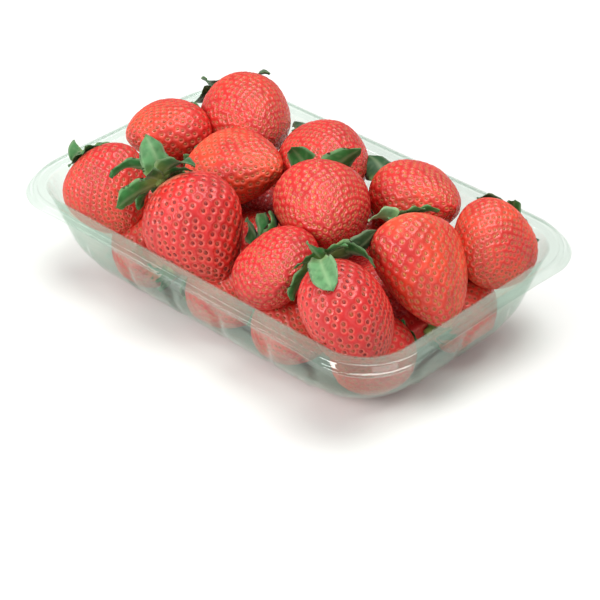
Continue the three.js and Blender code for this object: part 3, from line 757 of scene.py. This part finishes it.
def nearest_distance(points, spots):
    """Distance from each point to the nearest spot, from |p|² + |s|² - 2 p·s, SLICE points at once."""
    middle = spots.mean(0)
    p, s = points - middle, spots - middle
    reach = np.empty(len(p))
    for start in range(0, len(p), SLICE):
        part = p[start:start + SLICE]
        square = (part**2).sum(1)[:, None] + (s**2).sum(1)[None] - 2 * part @ s.T
        reach[start:start + SLICE] = np.sqrt(np.maximum(square.min(1), 0))
    return reach


def pit_relief(distance, spacing):
    """Depth of the skin's pit at a distance from its seed: minus the depth times e^-(way/width)²."""
    return -spacing / PIT_SPACING * PIT_DEPTH * np.exp(-((distance / spacing / PIT_WIDTH) ** 2))


def berry_piece(name, fruit, grid, number, finish):
    """One berry: a grid of rows along it and columns about it, pitted at its seeds.

    The rows crowd towards both ends, at shares (1 - cos(π·row/rows))/2. Each point sinks along
    its normal by its pit's depth. The result is the points of the berry's seeds.
    """
    rows, columns = grid
    share = (1 - np.cos(np.pi * np.arange(1, rows) / rows)) / 2
    turn = FULL_TURN * np.arange(columns) / columns
    shares, turns = np.meshgrid(share, turn, indexing="ij")
    skin = berry_points(fruit, shares, turns, number)
    normal = surface_normals(skin)
    poles = berry_points(fruit, np.array([0.0, 1.0]), np.zeros(2), number)
    seed_share, seed_turn = seed_places(fruit, number)
    seeds = berry_points(fruit, seed_share, seed_turn, number)
    reach = nearest_distance(skin.reshape(-1, 3), seeds).reshape(shares.shape)
    skin = skin + pit_relief(reach, fruit["seeds"])[..., None] * normal
    points = np.concatenate([skin.reshape(-1, 3), poles])
    pole = (rows - 1) * columns
    faces = [
        band_faces(rows - 1, columns),
        fan_faces(pole, 0, columns)[:, ::-1],
        fan_faces(pole + 1, pole - columns, columns),
    ]
    values = dict(
        pit=np.concatenate([reach.ravel() / fruit["seeds"], [1, 1]]),
        share=np.concatenate([shares.ravel(), [0, 1]]),
        tone=np.full(len(points), fruit["tone"]),
    )
    piece = mesh_piece(name, points, faces, finish, values)
    dress(piece, "strawberries")
    return seed_points(fruit, seed_share, seed_turn, number)


# ---------------------------------------------------------------- seeds


def seed_drop():
    """One seed's points: rings of an ellipsoid, narrowed towards the calyx end, and two tips."""
    ring_angle = np.pi * np.arange(1, SEED_RINGS + 1) / (SEED_RINGS + 1)
    side_angle = FULL_TURN * np.arange(SEED_SIDES) / SEED_SIDES
    length = -np.cos(ring_angle)[:, None] + 0 * side_angle
    girth = np.sin(ring_angle)[:, None] * (1 + SEED_TAPER * length)
    rings = np.stack([length, girth * np.cos(side_angle), girth * np.sin(side_angle)], -1)
    drop = np.concatenate([rings.reshape(-1, 3), [[-SEED_TAIL, 0, 0], [1, 0, 0]]])
    return drop * [SEED_LENGTH / 2, SEED_WIDTH / 2, SEED_THICKNESS / 2]


def seed_points(fruit, share, turn, number):
    """Points of a berry's seeds, each a drop that lies along the berry in its pit.

    Its axes are the steps along and round the skin and their cross product, and its size follows
    the spacing of the seeds within limits.
    """
    step = 0.004
    spot = berry_points(fruit, share, turn, number)
    onward = unit(berry_points(fruit, np.minimum(share + step, 1), turn, number)
                  - berry_points(fruit, np.maximum(share - step, 0), turn, number))
    round_way = unit(berry_points(fruit, share, turn + step, number)
                     - berry_points(fruit, share, turn - step, number))
    outward = unit(np.cross(round_way, onward))
    aside = np.cross(outward, onward)
    size = np.clip(fruit["seeds"] / PIT_SPACING, *SEED_SCALE_LIMITS)
    scale = size * varied(SEED_SCALES, np.arange(len(share)) + 77 * number)
    axes = np.stack([onward, aside, outward], 1) * scale[:, None, None]
    sunk = spot - outward * (PIT_DEPTH * fruit["seeds"] / PIT_SPACING - SEED_RISE * scale)[:, None]
    return sunk[:, None, :] + seed_drop()[None] @ axes


def seeds_piece(name, groups, berries, finish):
    """All the seeds of a layer of berries as one mesh, from the points of each berry's seeds."""
    points = np.concatenate(groups)
    count, size = points.shape[:2]
    tip = SEED_RINGS * SEED_SIDES
    one = [
        band_faces(SEED_RINGS, SEED_SIDES),
        fan_faces(tip, 0, SEED_SIDES)[:, ::-1],
        fan_faces(tip + 1, tip - SEED_SIDES, SEED_SIDES),
    ]
    gold = [np.full(len(group) * size, fruit["gold"]) for group, fruit in zip(groups, berries)]
    change = GOLD_SPREAD * (np.repeat(scatter(np.arange(count) + 5), size) - 0.5)
    gold = np.clip(np.concatenate(gold) + change, 0, 1)
    piece = mesh_piece(name, points.reshape(-1, 3), copied_faces(one, count, size), finish, dict(gold=gold))
    dress(piece, "strawberries")


# ---------------------------------------------------------------- leaves


def sepals_of(fruit, number):
    """A berry's sepals: the named ones, and others by rule where there is room between them."""
    named = [Sepal(*facts) for facts in fruit["sepals"]]
    ruled = []
    for k in range(SEPALS):
        seed = number * 31 + k * 7 + 1
        place = 360 * k / SEPALS + RULED_SHIFT * (scatter(seed) - 0.5)
        apart = [abs((place - sepal.place + 540) % 360 - 180) for sepal in named]
        if all(gap > SEPAL_CLEARANCE for gap in apart):
            length = fruit["width"] * varied(RULED_LENGTH, seed + 1)
            lean = varied(RULED_LEAN, seed + 2)
            curl = varied(RULED_CURL, seed + 3)
            pale = varied(RULED_PALE, seed + 4)
            ruled.append(Sepal(place, lean, curl, length, length / 2, 0, pale))
    return named + ruled


def crown_point(fruit):
    """Where a berry's leaves and stem meet."""
    along, across, over = berry_axes(fruit)
    turn, reach, rise = fruit["crown"]
    aside = across * np.cos(np.radians(turn)) + over * np.sin(np.radians(turn))
    return np.array(fruit["at"]) - along * (CALYX_SHARE * fruit["length"] + rise) + aside * reach


def sepal_spine(fruit, sepal, share):
    """A sepal's midrib at shares along it, and its sideways and face directions there.

    It leaves the calyx at the lean angle from the stem and turns by curl along its length, so its
    points are the running sum of its directions. twist turns its sides about it, all of it by
    half way along.
    """
    along, across, over = berry_axes(fruit)
    angle = np.radians(sepal.place)
    outwards = across * np.cos(angle) + over * np.sin(angle)
    tilt = np.radians(sepal.lean + sepal.curl * share)
    direction = -along * np.cos(tilt)[:, None] + outwards * np.sin(tilt)[:, None]
    level = np.cross(along, outwards)
    swing = np.radians(sepal.twist) * np.minimum(1, 2 * share)[:, None]
    sideways = level * np.cos(swing) + np.cross(level, direction) * np.sin(swing)
    step = sepal.length / (SEPAL_ROWS - 1)
    way = np.cumsum((direction[1:] + direction[:-1]) / 2 * step, axis=0)
    spine = np.concatenate([np.zeros((1, 3)), way]) + crown_point(fruit)
    return spine, sideways, np.cross(sideways, direction)


def sepal_veins(s, t):
    """How much vein there is at shares s along a sepal and t across it, from 0 to 1.

    The midrib is e^-(t/width)² and fades along the sepal, and the side veins are the crests of a
    cosine that slants back from it.
    """
    midrib = np.exp(-((t / MIDRIB_WIDTH) ** 2)) * (1 - 0.5 * s)
    side_veins = 0.5 * np.clip(np.cos(FULL_TURN * (6 * s - 1.2 * np.abs(t))), 0, 1) ** 4 * np.abs(t)
    return np.clip(midrib + side_veins, 0, 1)


def sepal_points(fruit, sepal, seed):
    """A sepal as rings of points round its section, with tone, vein and heart at each.

    The half width is 0.3(1 - s) + 0.9·sin(πs^bluntness)^0.65 of its widest. The sides are cupped
    as t², waved as t times a sine and rippled as t² times a faster one, all as shares of the
    width, and veins are shallow grooves. heart is 1 at its foot and fades out half way along.
    """
    share = np.linspace(0, 1, SEPAL_ROWS)
    spine, sideways, face = sepal_spine(fruit, sepal, share)
    outline = np.clip(np.sin(np.pi * share**sepal.bluntness), 0, 1) ** 0.65
    half = sepal.width / 2 * (0.3 * (1 - share) + 0.9 * outline)
    half[-1] = SEPAL_TIP
    t = np.linspace(-1, 1, SEPAL_COLUMNS)
    t = np.concatenate([t, t[-2:0:-1]])
    top = np.concatenate([np.ones(SEPAL_COLUMNS), -np.ones(SEPAL_COLUMNS - 2)])
    s = share[:, None]
    cup = SEPAL_CUP * sepal.width * np.sin(np.pi * s) * t**2
    wave = SEPAL_WAVE * sepal.width * np.sin(FULL_TURN * (1.2 * s + scatter(seed))) * t
    ripple = SEPAL_RIPPLE * sepal.width * np.sin(FULL_TURN * (3.1 * s + scatter(seed + 9))) * t**2
    vein = sepal_veins(s, t)
    thickness = top * SEPAL_THICKNESS / 2 * np.sqrt(1 - t**2) * (1 - 0.6 * s)
    lift = cup + wave + ripple - VEIN_DEPTH * vein + thickness
    across = (half[:, None] * t)[..., None] * sideways[:, None]
    points = spine[:, None] + across + lift[..., None] * face[:, None]
    edge = 0.8 * np.abs(t) ** 10 + 0 * s
    values = dict(
        tone=sepal.pale + 0 * vein,
        vein=np.maximum(vein, edge),
        heart=(1 - ease(s / 0.5)) + 0 * vein,
    )
    return press_into_tray(points), values


def copied_faces(one, count, size):
    """The faces of one small shape repeated for count copies of size points each."""
    shift = (np.arange(count) * size)[:, None, None]
    return [(part[None] + shift).reshape(-1, part.shape[1]) for part in one]


def leaves_piece(name, berries, finish):
    """The leaves of numbered berries as one mesh: closed rings, with a cap at each end of a leaf."""
    made = [
        sepal_points(fruit, sepal, number * 17 + k)
        for number, fruit in berries
        for k, sepal in enumerate(sepals_of(fruit, number))
    ]
    size = 2 * SEPAL_COLUMNS - 2
    each = SEPAL_ROWS * size
    one = [band_faces(SEPAL_ROWS, size), np.arange(size)[None, ::-1], each - size + np.arange(size)[None]]
    values = {label: np.concatenate([value[label].ravel() for _, value in made]) for label in made[0][1]}
    points = np.concatenate([points.reshape(-1, 3) for points, _ in made])
    piece = mesh_piece(name, points, copied_faces(one, len(made), each), finish, values)
    dress(piece, "strawberries")


def stubs_piece(name, berries, finish):
    """The cut stems as one mesh: a ring of points swept out of each calyx, with a rounded end."""
    reach = np.array(STUB_STEPS) * STUB_LENGTH
    radius = np.array(STUB_GIRTHS) * STUB_RADIUS
    angle = FULL_TURN * np.arange(STUB_SIDES) / STUB_SIDES
    stubs = []
    for fruit in berries:
        along, across, over = berry_axes(fruit)
        section = np.cos(angle)[:, None] * across + np.sin(angle)[:, None] * over
        middle = crown_point(fruit) - along * reach[:, None]
        stubs.append(middle[:, None] + radius[:, None, None] * section)
    points = press_into_tray(np.concatenate([stub.reshape(-1, 3) for stub in stubs]))
    each = len(reach) * STUB_SIDES
    side = np.arange(STUB_SIDES)[None]
    one = [band_faces(len(reach), STUB_SIDES)[:, ::-1], side, (each - STUB_SIDES + side)[:, ::-1]]
    values = dict(tone=np.full(len(points), 0.7), vein=np.zeros(len(points)), heart=np.ones(len(points)))
    piece = mesh_piece(name, points, copied_faces(one, len(stubs), each), finish, values)
    dress(piece, "strawberries")


# ---------------------------------------------------------------- core


def core_lumps(x, y):
    """How far the core's top rises at a place: the product of a sine along X and one along Y."""
    wave = FULL_TURN / CORE_LUMP_PITCH
    return CORE_LUMP * np.sin(wave * x) * np.sin(wave * y)


def evenly_spaced(ring, step, start):
    """The points of a ring where the way along it passes another whole step, begun at start."""
    way = np.cumsum(np.linalg.norm(ring - np.roll(ring, 1, axis=0), axis=1)) / step + start
    return ring[np.diff(np.floor(way), prepend=-1) > 0]


def core_rings():
    """The core's rings: the tray's own plan, inset by the wall clearance and a bevel top and bottom.

    They rise in even steps and then go on inwards over the top, which has the lumps.
    """
    rise = np.linspace(0, 1, CORE_SIDE_RINGS)
    over = np.linspace(0, 1, CORE_TOP_RINGS + 1)[1:]
    z = CORE_BOTTOM + (CORE_TOP - CORE_BOTTOM) * np.concatenate([rise, np.ones(CORE_TOP_RINGS)])
    bevel = np.interp(z, [CORE_BOTTOM, CORE_BOTTOM + CORE_BEVEL / 2, CORE_TOP - CORE_BEVEL / 2, CORE_TOP],
                      [CORE_BEVEL, 0, 0, CORE_BEVEL])
    inset = MOUTH_INSET + CORE_WALL_CLEARANCE + END_LEAN * (1 - z / TRAY_HEIGHT) + bevel
    inset[CORE_SIDE_RINGS:] += over * (TRAY_WIDTH / 2 - inset[-1] - 1)
    half_x = (TRAY_LENGTH / 2 - inset)[:, None]
    half_y = (TRAY_WIDTH / 2 - inset)[:, None]
    x, y = half_ring(half_x, half_y, np.minimum(CORE_RADIUS, half_y * CORE_ROUNDNESS))
    half = np.stack([x, y, z[:, None] + 0 * x], -1)
    rings = np.concatenate([half, half * [-1, -1, 1]], axis=1)
    lumpy = slice(CORE_SIDE_RINGS - 1, None)
    rings[lumpy, :, 2] += core_lumps(rings[lumpy, :, 0], rings[lumpy, :, 1])
    return rings


def core_seeds(rings):
    """Where the core's seeds would be: in a honeycomb over its top and in rows round its sides."""
    row_step = CORE_SEEDS * np.sqrt(0.75)
    rows = int(TRAY_WIDTH / 2 / row_step)
    places = int(TRAY_LENGTH / 2 / CORE_SEEDS)
    row, place = np.meshgrid(np.arange(-rows, rows + 1), np.arange(-places, places + 1), indexing="ij")
    x, y = (place + row % 2 / 2) * CORE_SEEDS, row * row_step
    top = np.stack([x, y, CORE_TOP + core_lumps(x, y)], -1).reshape(-1, 3)
    sides = [
        evenly_spaced(ring, CORE_SEEDS, number % 2 / 2)
        for number, ring in enumerate(rings[:CORE_SIDE_RINGS:RINGS_PER_SEED])
    ]
    return np.concatenate([top, *sides])


def core_piece(finish):
    """The core: a rounded block with a lumpy, pitted top, deep in the heap among hidden fruit."""
    rings = core_rings()
    count, size = rings.shape[:2]
    reach = nearest_distance(rings.reshape(-1, 3), core_seeds(rings))
    rings[..., 2] += pit_relief(reach, CORE_SEEDS).reshape(count, size)
    points = np.concatenate([rings.reshape(-1, 3), [[0, 0, CORE_BOTTOM], [0, 0, CORE_TOP]]])
    pole = count * size
    faces = [
        band_faces(count, size),
        fan_faces(pole, 0, size)[:, ::-1],
        fan_faces(pole + 1, pole - size, size),
    ]
    pit = np.concatenate([reach / CORE_SEEDS, [1, 1]])
    values = dict(pit=pit, share=np.full(len(points), 0.5), tone=np.zeros(len(points)))
    piece = mesh_piece("heap_core", points, faces, finish, values)
    dress(piece, "strawberries")


# ---------------------------------------------------------------- floor, lights and camera


FLOOR_REACH = 3000


def floor_piece():
    """A wide matt floor under the punnet, as one square face."""
    corners = [(-1, -1, 0), (1, -1, 0), (1, 1, 0), (-1, 1, 0)]
    points = np.array(corners) * FLOOR_REACH
    floor = mesh_piece("floor", points, [np.array([[0, 1, 2, 3]])], matt_studio_floor())


# Soft boxes: name, place and side in millimetres, and power in watts. The room lights evenly.
SOFT_BOXES = [
    ("key_box", (-135, -765, 450), 350, 4.5),
    ("rim_box", (-560, -560, 480), 280, 1.4),
    ("fill_box", (900, -300, 500), 600, 2),
    ("top_box", (60, 180, 900), 600, 8.2),
]
LIT_POINT = (0, 0, 30)
ROOM_LIGHT = 0.33


def soft_box(name, place, side, power):
    """A square area light that faces the point in the heap that all of them light."""
    lamp = bpy.data.lights.new(name, "AREA")
    lamp.shape = "SQUARE"
    lamp.size = side * MM
    lamp.energy = power
    box = bpy.data.objects.new(name, lamp)
    aim = (Vector(LIT_POINT) - Vector(place)).to_track_quat("-Z", "Y")
    box.matrix_world = Matrix.Translation(Vector(place) * MM) @ aim.to_matrix().to_4x4()
    bpy.context.scene.collection.objects.link(box)


def lights():
    """A dim white room, soft boxes on three sides and a large, strong one high above."""
    world = bpy.data.worlds.new("white_room")
    world.use_nodes = True
    background = world.node_tree.nodes["Background"]
    background.inputs["Color"].default_value = linear("#FFFFFF")
    background.inputs["Strength"].default_value = ROOM_LIGHT
    bpy.context.scene.world = world
    for facts in SOFT_BOXES:
        soft_box(*facts)


# The camera, in degrees and millimetres; its target is level with the rim.
CAMERA_TURN = 45.04
CAMERA_RISE = 34.19
CAMERA_ROLL = -1.25
CAMERA_DISTANCE = 721.9
CAMERA_TARGET = (43.23, -39.58, TRAY_HEIGHT)
CAMERA_LENS = 125.8
SENSOR_WIDTH = 36.0
NEAR_CLIP = 10


def camera():
    """A long lens that looks down on the front corner, turned a little about its axis."""
    turn, rise, roll = np.radians([CAMERA_TURN, CAMERA_RISE, CAMERA_ROLL])
    back = np.array([np.sin(turn) * np.cos(rise), -np.cos(turn) * np.cos(rise), np.sin(rise)])
    right = unit(np.cross(-back, (0, 0, 1)))
    up = np.cross(back, right)
    right, up = right * np.cos(roll) + up * np.sin(roll), up * np.cos(roll) - right * np.sin(roll)
    lens = bpy.data.cameras.new("camera")
    lens.lens = CAMERA_LENS
    lens.sensor_width = SENSOR_WIDTH
    lens.clip_start = NEAR_CLIP * MM
    view = bpy.data.objects.new("camera", lens)
    place = (np.array(CAMERA_TARGET) + back * CAMERA_DISTANCE) * MM
    rotation = Matrix([right, up, back]).transposed().to_4x4()
    view.matrix_world = Matrix.Translation(place) @ rotation
    bpy.context.scene.collection.objects.link(view)
    bpy.context.scene.camera = view


# ---------------------------------------------------------------- the scene

skin_finish = ripe_strawberry_skin()
seed_finish = strawberry_seed()
top_seeds = [
    berry_piece(f"berry_top_{i + 1:02d}", fruit, TOP_GRID, i, skin_finish)
    for i, fruit in enumerate(TOP_BERRIES)
]
low_seeds = [
    berry_piece(f"berry_low_{i + 1:02d}", fruit, LOW_GRID, LOW_START + i, skin_finish)
    for i, fruit in enumerate(LOW_BERRIES)
]
seeds_piece("seeds_top", top_seeds, TOP_BERRIES, seed_finish)
seeds_piece("seeds_low", low_seeds, LOW_BERRIES, seed_finish)
leaf_finish = fresh_calyx_leaf()
leaves_piece("leaves_top", enumerate(TOP_BERRIES), leaf_finish)
leaves_piece("leaves_low", enumerate(LOW_BERRIES, start=LOW_START), leaf_finish)
stubs_piece("stems", TOP_BERRIES + LOW_BERRIES, leaf_finish)
core_piece(skin_finish)
tray_piece(thermoformed_clear_pet())
floor_piece()
lights()
camera()

bpy.context.scene.view_settings.view_transform = "Standard"
bpy.context.scene.cycles.use_denoising = True
